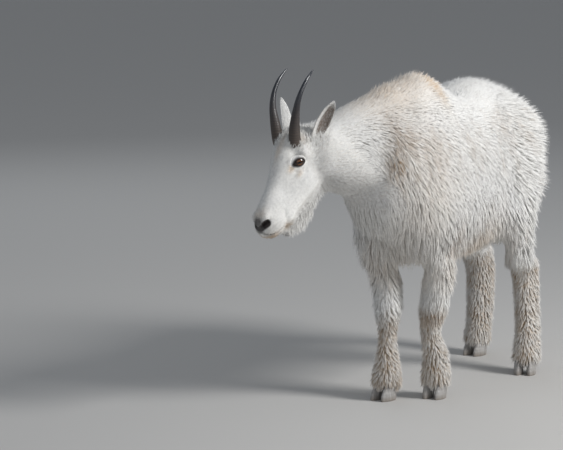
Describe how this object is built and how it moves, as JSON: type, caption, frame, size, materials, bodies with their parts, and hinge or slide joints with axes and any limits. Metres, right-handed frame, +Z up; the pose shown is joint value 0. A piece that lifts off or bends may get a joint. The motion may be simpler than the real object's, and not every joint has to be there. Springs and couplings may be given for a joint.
{
  "type": "mountain goat",
  "caption": "Life-size standing mountain goat with a shaggy white coat, black curved horns and split hooves, its head turned to its right, for a still display.",
  "frame": {"origin": "on the floor, under the middle of the model's box", "axes": "+X from the rump to the chest, +Y to the animal's left, +Z up"},
  "size_m": [1.2944, 0.4516, 0.9329],
  "materials": {
    "coat": "matt cream-white fur",
    "leg_coat": "matt fur, soiled tan",
    "horn": "black horn with a dull shine, ringed",
    "hoof": "dull grey horn",
    "eye": "wet, dark amber-brown"
  },
  "bodies": {
    "root": {"muzzle": "coat", "jaw": "coat", "head": "coat", "neck": "coat", "forearm_front_left": "coat", "shank_front_left": "leg_coat", "forearm_front_right": "coat", "shank_front_right": "leg_coat", "thigh_hind_left": "coat", "gaskin_hind_left": "leg_coat", "shank_hind_left": "leg_coat", "thigh_hind_right": "coat", "gaskin_hind_right": "leg_coat", "shank_hind_right": "leg_coat", "rump": "coat", "barrel": "coat", "chest": "coat", "horn_left": "horn", "ear_left": "coat", "eye_left": "eye", "horn_right": "horn", "ear_right": "coat", "eye_right": "eye", "hoof_front_left_outer": "hoof", "hoof_front_left_inner": "hoof", "hoof_front_right_outer": "hoof", "hoof_front_right_inner": "hoof", "hoof_hind_left_outer": "hoof", "hoof_hind_left_inner": "hoof", "hoof_hind_right_outer": "hoof", "hoof_hind_right_inner": "hoof", "tail": "coat"}
  },
  "joints": []
}
